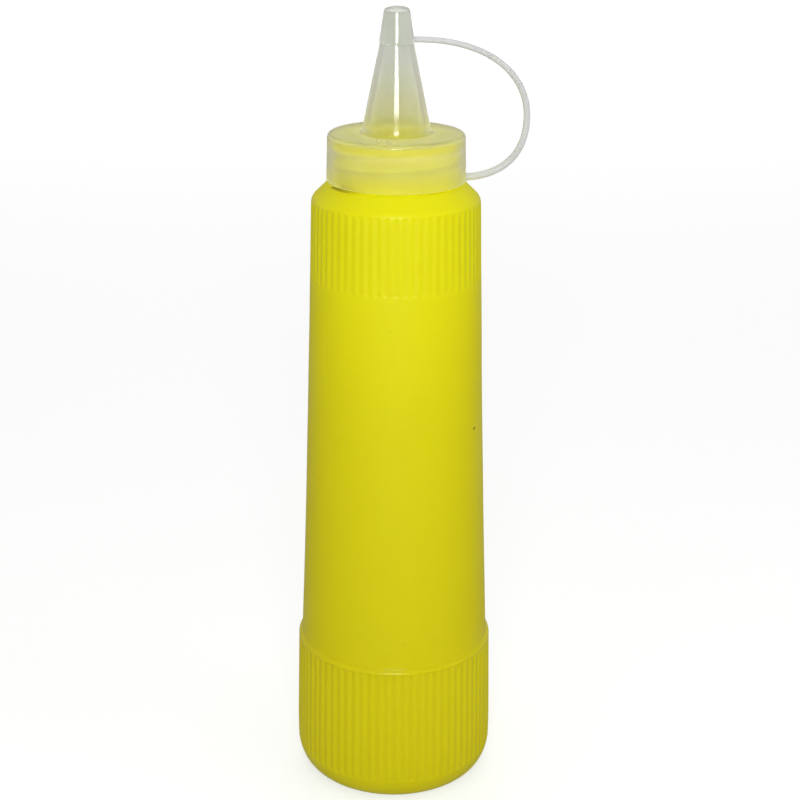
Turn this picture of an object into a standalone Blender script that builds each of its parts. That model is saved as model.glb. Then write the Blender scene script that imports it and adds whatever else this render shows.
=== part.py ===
"""A squeeze bottle for sauce, with a screwed nozzle cap and a tethered tip cover.

The bottle stands on Z = 0 with its axis on Z.  The strap of the tip cover
lies in the plane Y = 0, on the +X side.  Its front is -Y.
"""

import math

import bmesh
import bpy
from mathutils import Vector
from mathutils.geometry import interpolate_bezier

MM = 0.001
GAP = 0.3 * MM                   # clearance between neighbouring pieces

# Bottle body
BASE_RADIUS = 32.0 * MM          # the lower band's side, carried down to the base
FOOT_ROUND_WIDTH = 5.8 * MM      # oval rounding between the flat base and the side
FOOT_ROUND_HEIGHT = 11.0 * MM
BAND_TOP_RADIUS = 31.0 * MM      # lower band, just under its ledge
LEDGE_HEIGHT = 46.85 * MM        # where the ledge meets the smooth wall
LEDGE_ROUND = 1.3 * MM
WALL_FOOT_RADIUS = 29.86 * MM    # smooth wall, at the ledge
WALL_TOP_RADIUS = 25.35 * MM     # smooth wall, at the shoulder's rim
WALL_HOLLOW = 0.3 * MM           # how far the wall curves in at mid height
RIM_HEIGHT = 188.9 * MM          # where the shoulder starts to round over
RIM_ROUND = 2.4 * MM
RIM_TURN = math.radians(48)      # the rim turns this far, then runs straight
SHOULDER_TOP_RADIUS = 20.4 * MM  # under the cap, where the shoulder is flat
SHOULDER_TOP = 194.4 * MM

# Grip flutes
UPPER_FLUTES = 60
LOWER_FLUTES = 72
FLUTE_DEPTH = 0.5 * MM
FLUTE_WIDTH_SHARE = 0.7          # of the pitch; the rest is a flat land
SCOOP_LENGTH = 2.4 * MM          # the ends of each flute run out over this
UPPER_FLUTES_FOOT = 165.4 * MM
UPPER_FLUTES_TOP = 188.7 * MM
LOWER_FLUTES_FOOT = 7.0 * MM
LOWER_FLUTES_TOP = 44.6 * MM

# Neck and its thread
NECK_RADIUS = 17.55 * MM
NECK_TOP = 207.2 * MM
NECK_ROUND = 0.8 * MM
THREAD_HEIGHT = 1.2 * MM
THREAD_SINK = 0.6 * MM           # its root lies this deep in the neck
THREAD_PITCH = 4.23 * MM
THREAD_TURNS = 2
THREAD_START = 196.9 * MM        # middle of the thread at its lower end
THREAD_ROOT_WIDTH = 2.4 * MM
THREAD_CREST_WIDTH = 0.9 * MM
THREAD_RUN_OUT = 0.12            # share of its length that each end tapers over

# Nozzle cap
CAP_FOOT = 194.9 * MM
CAP_TOP = 209.0 * MM
CAP_RADIUS = 20.7 * MM
CAP_TAPER = 0.3 * MM             # the skirt narrows this much to the top
CAP_WALL = 1.55 * MM
CAP_EDGE_ROUND = 1.0 * MM
CAP_FOOT_CHAMFER = 0.3 * MM
PLATE_THICKNESS = 1.5 * MM
CONE_BASE_RADIUS = 10.1 * MM
CONE_TOP = 235.0 * MM
CONE_TOP_RADIUS = 5.0 * MM
CONE_FILLET = 1.0 * MM
CONE_EDGE_CHAMFER = 0.2 * MM
CONE_WALL = 1.6 * MM
TIP_TOP = 243.6 * MM
TIP_BASE_RADIUS = 4.1 * MM       # the cone steps in to this under the cover
TIP_TOP_RADIUS = 2.7 * MM
TIP_BORE_RADIUS = 1.3 * MM
TIP_BORE_LENGTH = 7.0 * MM

# Tip cover
COVER_FOOT_RADIUS = 5.2 * MM
COVER_FOOT_CHAMFER = 0.2 * MM
COVER_TOP = 245.4 * MM
COVER_TOP_RADIUS = 3.85 * MM     # where the top's rounding starts
COVER_ROUND = 1.4 * MM
COVER_DOME = 0.3 * MM

# Strap, as two Bezier spans in the plane Y = 0
STRAP_START = Vector((4.75, 0.0, 235.9)) * MM
STRAP_START_PULL = Vector((22.7, 0.0, 0.0)) * MM
STRAP_REACH = Vector((38.2, 0.0, 213.6)) * MM
STRAP_REACH_PULL_UP = Vector((0.0, 0.0, 12.1)) * MM
STRAP_REACH_PULL_DOWN = Vector((0.0, 0.0, -10.5)) * MM
STRAP_END = Vector((21.2, 0.0, 195.9)) * MM
STRAP_END_PULL = Vector((9.9, 0.0, 2.0)) * MM
STRAP_THICKNESS = (1.2 * MM, 2.0 * MM)   # at the cover, at the cap
STRAP_DEPTH = (2.0 * MM, 2.6 * MM)
STRAP_STEPS = 17                 # along each span
STRAP_SIDES = 8

BOTTLE_SIDES = 60                # around the smooth parts of the bottle
NECK_SIDES = 48
CAP_SIDES = 60
COVER_SIDES = 36
THREAD_SIDES = 24                # for each turn
ARC_STEPS = 4
FOOT_STEPS = 5
WALL_STEPS = 5

BOTTLE_YELLOW = (0.78, 0.74, 0.02)
NATURAL_WHITE = (0.62, 0.64, 0.56)


def clear_scene():
    for obj in list(bpy.data.objects):
        bpy.data.objects.remove(obj)


def plastic(name, colour, roughness):
    material = bpy.data.materials.new(name)
    material.use_nodes = True
    shader = material.node_tree.nodes["Principled BSDF"]
    shader.inputs["Base Color"].default_value = (*colour, 1.0)
    shader.inputs["Roughness"].default_value = roughness
    shader.inputs["Metallic"].default_value = 0.0
    return material


def arc(centre_radius, centre_height, size, start, end, steps=ARC_STEPS):
    """Outline points (radius, height); turn 0 points outwards, a quarter turn up."""
    turns = [start + (end - start) * step / steps for step in range(steps + 1)]
    return [(centre_radius + size * math.cos(turn), centre_height + size * math.sin(turn)) for turn in turns]


def around(radius, turn, height):
    """The point at this turn from the front, towards +X."""
    return Vector((radius * math.sin(turn), -radius * math.cos(turn), height))


def plain_ring(bm, radius, height, sides):
    """A ring of points about the axis, or the single point on it."""
    if radius == 0.0:
        sides = 1
    return [bm.verts.new(around(radius, math.tau * side / sides, height)) for side in range(sides)]


def fluted_ring(bm, radius, height, flutes, depth):
    """Three points for each flute: its two edges and, deeper, its middle."""
    ring = []
    for flute in range(flutes):
        for side in (-1, 0, 1):
            turn = math.tau / flutes * (flute + side * FLUTE_WIDTH_SHARE / 2)
            reach = radius - (depth if side == 0 else 0.0)
            ring.append(bm.verts.new(around(reach, turn, height)))
    return ring


def join_rings(bm, first, second):
    """Faces between two rings; one may be a single point, or have more points."""
    if len(first) == len(second):
        for index in range(len(first)):
            bm.faces.new((first[index - 1], first[index], second[index], second[index - 1]))
        return
    if len(first) == 1 or len(second) == 1:
        pole = first[0] if len(first) == 1 else second[0]
        rim = second if len(first) == 1 else first
        for index in range(len(rim)):
            bm.faces.new((rim[index - 1], rim[index], pole))
        return
    done_first, done_second = 0, 0
    while done_first < len(first) or done_second < len(second):
        near = first[done_first % len(first)]
        far = second[done_second % len(second)]
        if (done_first + 1) / len(first) <= (done_second + 1) / len(second):
            done_first += 1
            bm.faces.new((near, first[done_first % len(first)], far))
        else:
            done_second += 1
            bm.faces.new((near, second[done_second % len(second)], far))


def join_all(bm, rings):
    for first, second in zip(rings, rings[1:]):
        join_rings(bm, first, second)


def new_object(name, bm, material):
    bmesh.ops.recalc_face_normals(bm, faces=bm.faces)
    mesh = bpy.data.meshes.new(name)
    bm.to_mesh(mesh)
    bm.free()
    mesh.shade_smooth()
    mesh.set_sharp_from_angle(angle=math.radians(35))
    mesh.materials.append(material)
    obj = bpy.data.objects.new(name, mesh)
    bpy.context.collection.objects.link(obj)
    return obj


def turned(name, outline, sides, material, closed):
    """A solid of revolution; its outline ends on the axis, or is a closed loop off it."""
    bm = bmesh.new()
    rings = [plain_ring(bm, radius, height, sides) for radius, height in outline]
    join_all(bm, rings + rings[:1] if closed else rings)
    return new_object(name, bm, material)


def bar(name, sections, material):
    """A bar through cross-sections that have the same number of points."""
    bm = bmesh.new()
    rings = [[bm.verts.new(point) for point in section] for section in sections]
    join_all(bm, rings)
    bm.faces.new(rings[0])
    bm.faces.new(rings[-1])
    return new_object(name, bm, material)


def fuse(obj, addition):
    """Unite the addition with obj, and remove it as an object of its own."""
    union = obj.modifiers.new("union", "BOOLEAN")
    union.operation = "UNION"
    union.object = addition
    evaluated = obj.evaluated_get(bpy.context.evaluated_depsgraph_get())
    obj.data = bpy.data.meshes.new_from_object(evaluated)
    obj.modifiers.clear()
    bpy.data.objects.remove(addition)


def wall_radius(height):
    """Radius of the bottle's smooth wall, between the ledge and the rim."""
    share = (height - LEDGE_HEIGHT) / (RIM_HEIGHT - LEDGE_HEIGHT)
    straight = WALL_FOOT_RADIUS + (WALL_TOP_RADIUS - WALL_FOOT_RADIUS) * share
    return straight - 4 * WALL_HOLLOW * share * (1 - share)


def band_radius(height):
    """Radius of the lower band, which narrows upwards and rounds in at its foot."""
    side = BASE_RADIUS + (BAND_TOP_RADIUS - BASE_RADIUS) * height / LOWER_FLUTES_TOP
    below = max(0.0, 1 - height / FOOT_ROUND_HEIGHT)
    return side - FOOT_ROUND_WIDTH * (1 - math.sqrt(1 - below * below))


def flute_rings(bm, foot, top, radius_at, flutes):
    """Rings of one fluted band, whose flutes run out in a scoop at both ends."""
    scoop = [(0.0, 0.0), (0.4 * SCOOP_LENGTH, 0.75), (SCOOP_LENGTH, 1.0)]
    stations = [(foot + rise, share) for rise, share in scoop]
    stations += [(top - drop, share) for drop, share in reversed(scoop)]
    return [fluted_ring(bm, radius_at(z), z, flutes, FLUTE_DEPTH * share) for z, share in stations]


def foot_outline():
    """The flat base and the rounding up to where the flutes start."""
    top_turn = math.asin(1 - LOWER_FLUTES_FOOT / FOOT_ROUND_HEIGHT)
    outline = [(0.0, 0.0)]
    for step in range(FOOT_STEPS):
        turn = math.pi / 2 + (top_turn - math.pi / 2) * step / FOOT_STEPS
        height = FOOT_ROUND_HEIGHT * (1 - math.sin(turn))
        outline.append((band_radius(height), height))
    return outline


def wall_outline():
    """The ledge over the lower band, and the smooth wall above it."""
    centre = BAND_TOP_RADIUS - LEDGE_ROUND
    turn = math.acos((WALL_FOOT_RADIUS - centre) / LEDGE_ROUND)
    outline = arc(centre, LEDGE_HEIGHT - LEDGE_ROUND * math.sin(turn), LEDGE_ROUND, 0.0, turn)
    for step in range(1, WALL_STEPS):
        height = LEDGE_HEIGHT + (UPPER_FLUTES_FOOT - LEDGE_HEIGHT) * step / WALL_STEPS
        outline.append((wall_radius(height), height))
    return outline


def shoulder_outline():
    """The rim, and the slope up to the flat that the cap stands over."""
    outline = arc(WALL_TOP_RADIUS - RIM_ROUND, RIM_HEIGHT, RIM_ROUND, 0.0, RIM_TURN)
    outline.append((SHOULDER_TOP_RADIUS, SHOULDER_TOP))
    return outline


def neck_outline():
    outline = [(NECK_RADIUS, SHOULDER_TOP)]
    outline += arc(NECK_RADIUS - NECK_ROUND, NECK_TOP - NECK_ROUND, NECK_ROUND, 0.0, math.pi / 2, 3)
    outline.append((0.0, NECK_TOP))
    return outline


def thread_section(turn, height, crest_radius):
    root_radius = NECK_RADIUS - THREAD_SINK
    corners = [
        (root_radius, -THREAD_ROOT_WIDTH / 2),
        (crest_radius, -THREAD_CREST_WIDTH / 2),
        (crest_radius, THREAD_CREST_WIDTH / 2),
        (root_radius, THREAD_ROOT_WIDTH / 2),
    ]
    return [around(radius, turn, height + rise) for radius, rise in corners]


def make_thread(material):
    """The neck's thread, whose ends taper down into the neck."""
    sections = []
    steps = THREAD_TURNS * THREAD_SIDES
    sunk_radius = NECK_RADIUS - THREAD_SINK / 2
    for step in range(steps + 1):
        share = step / steps
        turns = THREAD_TURNS * share
        growth = min(1.0, share / THREAD_RUN_OUT, (1 - share) / THREAD_RUN_OUT)
        crest_radius = sunk_radius + (NECK_RADIUS + THREAD_HEIGHT - sunk_radius) * growth
        height = THREAD_START + THREAD_PITCH * turns
        sections.append(thread_section(math.tau * turns, height, crest_radius))
    return bar("thread", sections, material)


def make_bottle(material):
    bm = bmesh.new()

    def plain_rings(outline, sides=BOTTLE_SIDES):
        return [plain_ring(bm, radius, height, sides) for radius, height in outline]

    rings = plain_rings(foot_outline())
    rings += flute_rings(bm, LOWER_FLUTES_FOOT, LOWER_FLUTES_TOP, band_radius, LOWER_FLUTES)
    rings += plain_rings(wall_outline())
    rings += flute_rings(bm, UPPER_FLUTES_FOOT, UPPER_FLUTES_TOP, wall_radius, UPPER_FLUTES)
    rings += plain_rings(shoulder_outline())
    rings += plain_rings(neck_outline(), NECK_SIDES)
    join_all(bm, rings)
    bottle = new_object("bottle", bm, material)
    fuse(bottle, make_thread(material))


def cap_outline():
    """Up the outside, down inside the nozzle and out to the skirt's foot."""
    edge_radius = CAP_RADIUS - CAP_TAPER - CAP_EDGE_ROUND
    inside = CAP_RADIUS - CAP_WALL
    plate_foot = CAP_TOP - PLATE_THICKNESS
    lean = math.atan2(CONE_BASE_RADIUS - CONE_TOP_RADIUS, CONE_TOP - CAP_TOP)
    outline = [(CAP_RADIUS - CAP_FOOT_CHAMFER, CAP_FOOT), (CAP_RADIUS, CAP_FOOT + CAP_FOOT_CHAMFER)]
    outline += arc(edge_radius, CAP_TOP - CAP_EDGE_ROUND, CAP_EDGE_ROUND, 0.0, math.pi / 2)
    outline += arc(
        CONE_BASE_RADIUS + CONE_FILLET, CAP_TOP + CONE_FILLET, CONE_FILLET, -math.pi / 2, lean - math.pi
    )
    outline += [
        (CONE_TOP_RADIUS, CONE_TOP - CONE_EDGE_CHAMFER),
        (CONE_TOP_RADIUS - CONE_EDGE_CHAMFER, CONE_TOP),
        (TIP_BASE_RADIUS, CONE_TOP),
        (TIP_TOP_RADIUS, TIP_TOP),
        (TIP_BORE_RADIUS, TIP_TOP),
        (TIP_BORE_RADIUS, TIP_TOP - TIP_BORE_LENGTH),
        (CONE_TOP_RADIUS - CONE_WALL, CONE_TOP - CONE_WALL),
        (CONE_BASE_RADIUS - CONE_WALL, plate_foot),
        (inside, plate_foot),
        (inside, CAP_FOOT),
    ]
    return outline


def make_nozzle_cap(material):
    turned("nozzle_cap", cap_outline(), CAP_SIDES, material, closed=True)


def cover_outline():
    """From the ceiling down the bore, round the foot and up to the crown."""
    foot = CONE_TOP + GAP
    ceiling = TIP_TOP + GAP
    shoulder = COVER_TOP - COVER_DOME - COVER_ROUND
    lean = math.atan2(COVER_FOOT_RADIUS - COVER_TOP_RADIUS, shoulder - foot)
    outline = [
        (0.0, ceiling),
        (TIP_TOP_RADIUS + GAP, ceiling),
        (TIP_BASE_RADIUS + GAP, foot),
        (COVER_FOOT_RADIUS - COVER_FOOT_CHAMFER, foot),
        (COVER_FOOT_RADIUS, foot + COVER_FOOT_CHAMFER),
    ]
    outline += arc(COVER_TOP_RADIUS - COVER_ROUND * math.cos(lean), shoulder, COVER_ROUND, lean, math.pi / 2)
    outline.append((0.0, COVER_TOP))
    return outline


def strap_path():
    above = STRAP_REACH + STRAP_REACH_PULL_UP
    below = STRAP_REACH + STRAP_REACH_PULL_DOWN
    first = interpolate_bezier(STRAP_START, STRAP_START + STRAP_START_PULL, above, STRAP_REACH, STRAP_STEPS)
    second = interpolate_bezier(STRAP_REACH, below, STRAP_END + STRAP_END_PULL, STRAP_END, STRAP_STEPS)
    return first + second[1:]


def strap_sections():
    """Oval sections square to the path, wider and thicker towards the cap."""
    path = strap_path()
    sections = []
    for index, centre in enumerate(path):
        along = path[min(index + 1, len(path) - 1)] - path[max(index - 1, 0)]
        across = Vector((-along.z, 0.0, along.x)).normalized()
        share = index / (len(path) - 1)
        thickness = STRAP_THICKNESS[0] + (STRAP_THICKNESS[1] - STRAP_THICKNESS[0]) * share
        depth = STRAP_DEPTH[0] + (STRAP_DEPTH[1] - STRAP_DEPTH[0]) * share
        section = []
        for side in range(STRAP_SIDES):
            turn = math.tau * side / STRAP_SIDES
            out = across * (thickness / 2 * math.cos(turn))
            section.append(centre + out + Vector((0.0, depth / 2 * math.sin(turn), 0.0)))
        sections.append(section)
    return sections


def make_tip_cover(material):
    cover = turned("tip_cover", cover_outline(), COVER_SIDES, material, closed=False)
    fuse(cover, bar("strap", strap_sections(), material))


def main():
    clear_scene()
    yellow = plastic("bottle_plastic", BOTTLE_YELLOW, 0.42)
    natural = plastic("cap_plastic", NATURAL_WHITE, 0.35)
    make_bottle(yellow)
    make_nozzle_cap(natural)
    make_tip_cover(natural)


main()
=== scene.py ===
"""Finish of a yellow squeeze bottle with a milky nozzle cap and a strapped tip cover.

Lengths are in metres unless a comment says otherwise.  Z is the bottle's axis, -Y its front.
"""

import math

import bmesh
import bpy
from mathutils import Matrix, Vector


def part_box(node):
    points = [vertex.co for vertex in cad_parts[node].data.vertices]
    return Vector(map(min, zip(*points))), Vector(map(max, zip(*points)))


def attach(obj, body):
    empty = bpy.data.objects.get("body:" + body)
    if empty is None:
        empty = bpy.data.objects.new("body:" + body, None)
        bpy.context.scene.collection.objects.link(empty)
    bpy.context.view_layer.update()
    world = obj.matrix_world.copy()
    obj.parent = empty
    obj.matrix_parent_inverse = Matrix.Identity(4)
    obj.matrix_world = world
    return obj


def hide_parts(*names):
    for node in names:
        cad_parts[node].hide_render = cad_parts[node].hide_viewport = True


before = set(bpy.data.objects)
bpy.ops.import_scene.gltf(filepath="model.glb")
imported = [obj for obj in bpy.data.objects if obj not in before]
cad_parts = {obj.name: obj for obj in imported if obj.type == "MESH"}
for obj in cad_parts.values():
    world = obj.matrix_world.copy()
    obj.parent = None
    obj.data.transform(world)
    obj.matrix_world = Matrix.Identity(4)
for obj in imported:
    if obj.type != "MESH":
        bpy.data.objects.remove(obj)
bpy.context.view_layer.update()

MM = 0.001
MERGE_DISTANCE = 0.002 * MM
HOLD_REACH = 0.25 * MM             # from a sharp edge to the row that holds it
SOFT_EDGE_TURN = math.radians(40)  # edges that turn less are shaded soft

BOTTLE_HIGH = Vector(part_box("bottle")[1])
CAP_LOW, CAP_HIGH = (Vector(corner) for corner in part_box("nozzle_cap"))
COVER_HIGH = Vector(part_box("tip_cover")[1])

# Bottle
NECK_TOP = BOTTLE_HIGH.z
BASE_RADIUS = 32.0 * MM            # the lower band's side, carried down to the base
FOOT_ROUND_WIDTH = 5.8 * MM
FOOT_ROUND_HEIGHT = 11.0 * MM
BASE_RECESS_RADIUS = 21.0 * MM
BASE_RECESS_DEPTH = 0.6 * MM
BAND_SIDE_TOP = 44.6 * MM          # the lower band's side leans in evenly up to here
BAND_TOP_RADIUS = 31.0 * MM
LEDGE_HEIGHT = 46.85 * MM
LEDGE_ROUND = 1.3 * MM
LEDGE_FILLET = 0.9 * MM
LEDGE_LIFT = 0.5 * MM              # from the ledge's nominal height up to the fillet's top
WALL_START = 0.4 * MM              # from the fillet's top up to the wall's first row
WALL_FOOT_RADIUS = 29.86 * MM
WALL_TOP_RADIUS = 25.35 * MM
WALL_HOLLOW = 0.3 * MM             # how far the wall is drawn in halfway up
WALL_ROWS = 22
RIM_HEIGHT = 188.1 * MM
RIM_ROUND = 3.5 * MM
RIM_TURN = math.radians(48)
SHOULDER_TOP_RADIUS = 20.4 * MM
SHOULDER_TOP = 194.4 * MM
NECK_RADIUS = 17.55 * MM
NECK_ROUND = 0.8 * MM
BOTTLE_STEPS = 720                 # around: a multiple of both numbers of flutes

# Flutes pressed into the two grip bands: number, foot, top, depth
UPPER_FLUTES = (60, 165.4 * MM, 189.35 * MM, 0.30 * MM)
LOWER_FLUTES = (72, 7.0 * MM, 45.5 * MM, 0.42 * MM)
FLUTE_WIDTH = 0.95                 # as a share of the distance between two flutes
FLUTE_UNEVENNESS = 0.1             # as a share of the depth, more or less
SCOOP_FOOT = 1.3 * MM              # length of a flute's run-out, at its foot and its top
SCOOP_TOP = 0.7 * MM
SCOOP_FOOT_ROWS = 7
SCOOP_TOP_ROWS = 5

# Marks of the mould and of the blown wall
SEAM_HEIGHT = 0.05 * MM
SEAM_HALF_WIDTH = 0.05 * MM
SEAM_FOOT = 3.0 * MM
WAVE_HEIGHT = 0.22 * MM
WAVE_LENGTH = 26.0 * MM
WAVE_START = 1.0 * MM              # above the ledge
WAVE_FADE = 12.0 * MM

# Thread
THREAD_PITCH = 4.23 * MM
THREAD_TURNS = 2
THREAD_START = 196.9 * MM
THREAD_HEIGHT = 1.2 * MM
THREAD_SINK = 0.6 * MM
THREAD_ROOT_WIDTH = 2.4 * MM
THREAD_CREST_WIDTH = 0.9 * MM
THREAD_TAPER = 0.12                # of its length, at either end
THREAD_END = 0.25                  # height of its ends, as a share of the whole
THREAD_STEPS = 96                  # for each turn

# Nozzle cap
CAP_FOOT = CAP_LOW.z
CAP_RADIUS = CAP_HIGH.x
CAP_TOP = 209.0 * MM
CAP_TAPER = 0.3 * MM
CAP_WALL = 1.55 * MM
CAP_EDGE_ROUND = 1.3 * MM
CAP_FOOT_ROUND = 0.3 * MM
PLATE_THICKNESS = 1.5 * MM
CONE_BASE_RADIUS = 10.1 * MM
CONE_TOP = 235.0 * MM
CONE_TOP_RADIUS = 5.0 * MM
CONE_FILLET = 1.2 * MM
CONE_EDGE_ROUND = 0.2 * MM
CONE_WALL = 1.6 * MM
TIP_TOP = CAP_HIGH.z
TIP_BASE_RADIUS = 4.1 * MM
TIP_TOP_RADIUS = 2.7 * MM
TIP_BORE_RADIUS = 1.3 * MM
TIP_BORE_LENGTH = 7.0 * MM
CAP_STEPS = 256

# Drops left by the mould on the cap's plate: place and radius in mm
PLATE_DROPS = (
    (-5.2, -13.2, 0.48), (-4.5, -14.5, 0.30), (-3.6, -15.3, 0.55), (-2.5, -13.0, 0.34),
    (-1.7, -15.2, 0.42), (-0.7, -13.6, 0.32), (-1.4, -17.2, 0.30),
)
DROP_SHAPE = (1.3, 0.8, 0.75)
DROP_RISE = 0.15                   # of its middle above the plate, as a share of its radius

# Tip cover and strap
COVER_TOP = COVER_HIGH.z
COVER_FOOT_RADIUS = 5.2 * MM
COVER_TOP_RADIUS = 3.85 * MM
COVER_ROUND = 1.5 * MM
COVER_FOOT_ROUND = 0.2 * MM
COVER_DOME = 0.3 * MM
COVER_SEAT = 0.03 * MM             # what is left between the cover's foot and the cone
COVER_GAP = 0.3 * MM               # between the nozzle's tip and the cover's inside
COVER_STEPS = 128
STRAP_START = Vector((4.75, 0.0, 235.9)) * MM
STRAP_START_PULL = Vector((22.7, 0.0, 0.4)) * MM
STRAP_REACH = Vector((38.2, 0.0, 213.6)) * MM
STRAP_REACH_PULL_UP = Vector((0.0, 0.0, 12.1)) * MM
STRAP_REACH_PULL_DOWN = Vector((0.0, 0.0, -11.3)) * MM
STRAP_END = Vector((20.3, 0.0, 195.8)) * MM
STRAP_END_PULL = Vector((10.8, 0.0, 0.5)) * MM
STRAP_THICKNESS = 1.75 * MM        # at its start
STRAP_DEPTH = 2.0 * MM
STRAP_REACH_GROWTH = 1.1
STRAP_END_GROWTH = 2.2 / 1.75
STRAP_STEPS = 32                   # along each of its two spans
STRAP_SECTION_STEPS = 6            # for each quarter of its section
STRAP_MERGE_DISTANCE = 0.005 * MM

# Colours of the bottle
WALL_YELLOW = (0.860, 0.815, 0.0008, 1.0)
# Painted shade, deeper toward the foot, and painted light, paler at the shoulder
FOOT_SHADE_YELLOW = (0.800, 0.740, 0.0012, 1.0)
SHOULDER_LIGHT_YELLOW = (0.970, 0.925, 0.0008, 1.0)
# Painted shade on the ledge's upward-facing top
LEDGE_SHADE_YELLOW = (0.77, 0.715, 0.0010, 1.0)
# Painted shadow under the cap's foot
UNDER_CAP_SHADE_BROWN = (0.32, 0.27, 0.010, 1.0)
CLOUD_YELLOW = (0.62, 0.55, 0.0010, 1.0)
DRAWN_YELLOW = (0.95, 0.93, 0.0100, 1.0)
SCUFF_YELLOW = (0.92, 0.90, 0.30, 1.0)

# Small marks on the bottle: place in mm, turn, half sizes in mm, colour
YELLOW_MARKS = {
    "dark speck": ((24.2, -12.45, 120.7), (0.0, 0.7, 0.0), (0.60, 1.2, 0.34), (0.15, 0.13, 0.001, 1.0)),
    "right nick": ((24.31, -11.21, 135.3), (0.0, 1.0, 0.0), (0.40, 1.0, 0.16), (0.66, 0.61, 0.004, 1.0)),
    "upper nick": ((24.49, -9.62, 151.3), (0.0, 0.3, 0.0), (0.36, 1.0, 0.30), (0.93, 0.88, 0.030, 1.0)),
    "front dash": ((-1.57, -26.14, 155.6), (0.0, 0.0, 0.0), (0.60, 1.0, 0.16), (0.82, 0.77, 0.001, 1.0)),
    "left dash": ((-24.9, -12.16, 105.4), (0.0, -0.1, 0.0), (0.9, 1.6, 0.16), (0.70, 0.65, 0.002, 1.0)),
    "faint spot": ((3.11, -29.36, 55.4), (0.0, 0.0, 0.0), (0.7, 1.0, 0.6), (0.79, 0.725, 0.002, 1.0)),
}

# Where the bottle's finish changes: heights, and how far to the left and front the painted shadow line
# under the cap's foot starts and is full
FOOT_SHADE_CHANGE = (125.0 * MM, 0.0)
SHOULDER_LIGHT_CHANGE = (115.0 * MM, 178.0 * MM)
SHOULDER_LIGHT_END = (196.0 * MM, 194.0 * MM)
LEDGE_SHADE_BAND, LEDGE_SHADE_FADE = (46.1 * MM, 46.8 * MM), 0.5 * MM
LEDGE_SHINE_BAND = (45.5 * MM, 47.0 * MM)
RIM_SHINE_BAND = (188.8 * MM, 190.3 * MM)
SHINE_FADE = 0.6 * MM
UNDER_CAP_SHADE_BAND, UNDER_CAP_SHADE_FADE = (194.3 * MM, 194.8 * MM), 0.4 * MM
UNDER_CAP_SHADE_LEFT = (-9.0 * MM, -18.5 * MM)
UNDER_CAP_SHADE_FRONT = (-6.0 * MM, -9.5 * MM)

# Roughness of the bottle: least and most, what a scuff adds and what the two polished edges take off
YELLOW_ROUGHNESS = (0.43, 0.50)
YELLOW_SCUFF = 0.12
RIM_POLISH = 0.14
LEDGE_POLISH = 0.26

# Colours of the milky plastic: between clouds and in them, or one colour where something changes
# The skirt's yellowish colours are partly the plastic's own tint, partly painted glow of the yellow neck
SKIRT_COLOURS = ((0.93, 0.930, 0.56, 1.0), (0.98, 0.980, 0.66, 1.0))
CONE_COLOURS = ((0.870, 0.895, 0.855, 1.0), (0.915, 0.94, 0.895, 1.0))
DROP_COLOURS = ((0.92, 0.90, 0.26, 1.0), (0.95, 0.93, 0.34, 1.0))
STRAP_COLOURS = ((0.665, 0.70, 0.725, 1.0), (0.72, 0.76, 0.785, 1.0))
# Painted glow of the yellow neck through the skirt's foot and through a ring under the plate
SKIRT_FOOT_NECK_GLOW = (0.98, 0.970, 0.31, 1.0)
PALE_RING_COLOUR = (0.99, 0.98, 0.74, 1.0)
NECK_GLOW_RING_COLOUR = (0.97, 0.955, 0.42, 1.0)
# Painted shade on the plate's top, with painted glow of the yellow neck near the cone
PLATE_INNER_GLOW_SHADE = (0.78, 0.76, 0.22, 1.0)
PLATE_SHADE_COLOUR = (0.650, 0.635, 0.12, 1.0)
PLATE_OUTER_SHADE_COLOUR = (0.645, 0.635, 0.22, 1.0)
# Painted glow of the yellow neck in the cone, strongest at its foot
CONE_GLOW_COLOUR = (0.92, 0.89, 0.18, 1.0)
CONE_FOOT_GLOW_COLOUR = (0.82, 0.80, 0.34, 1.0)
# Painted shade on the cover's crown
CROWN_SHADE_COLOUR = (0.755, 0.775, 0.735, 1.0)
CONE_GLOW = 0.62                   # share of the glow's colour at the cone's foot
CONE_GLOW_FALL = 1.9               # power by which the glow dies out upwards
HAZE_TINT = (0.97, 1.0, 0.93, 1.0)
SHADOW_PASSES = (0.70, 0.70, 0.64, 1.0)

# Where the milky plastic's finish changes: heights, and on the plate radii
SKIRT_FOOT_NECK_GLOW_CHANGE = (201.0 * MM, 195.5 * MM)
PALE_RING_BAND = (204.3 * MM, 205.0 * MM)
NECK_GLOW_RING_BAND = (206.2 * MM, 208.3 * MM)
PLATE_CHANGE = (208.4 * MM, 208.9 * MM)
PLATE_INNER_CHANGE = (11.8 * MM, 14.0 * MM)
PLATE_OUTER_CHANGE = (14.0 * MM, 19.0 * MM)
CONE_FOOT_GLOW_CHANGE = (212.8 * MM, 211.0 * MM)
CROWN_SHADE_CHANGE = (243.1 * MM, 244.0 * MM)
ROUGH_CHANGE = (206.5 * MM, 209.5 * MM)
EDGE_GLOSS_BAND = (207.7 * MM, 208.6 * MM)
ABOVE_PLATE = (209.04 * MM, 209.08 * MM)
FILLET_GLOSS_BAND = (209.0 * MM, 210.6 * MM)
CONE_GLOSS_CHANGE = (213.5 * MM, 217.5 * MM)
CONE_GLOSS_END = (234.9 * MM, 234.5 * MM)
COVER_GLOSS_BAND = (235.8 * MM, 243.8 * MM)
MILKY_FADE = 0.6 * MM
EDGE_GLOSS_FADE = 0.4 * MM

# Gloss and roughness of the milky plastic
PLATE_GLOSS = 0.1
PLATE_EDGE_GLOSS = 0.7
FILLET_START_GLOSS = 0.9
FILLET_GLOSS = 0.6
CONE_SIDE_GLOSS = (0.1, 0.7)       # at its foot, and above it
COVER_GLOSS = 0.75
STRAP_GLOSS = 0.15
DROP_GLOSS = 1.0
MILKY_ROUGHNESS = (0.30, 0.40)     # of the skirt, and of all above it
MILKY_UNEVENNESS = (-0.02, 0.04)
MILKY_SCUFF = 0.10

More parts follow.
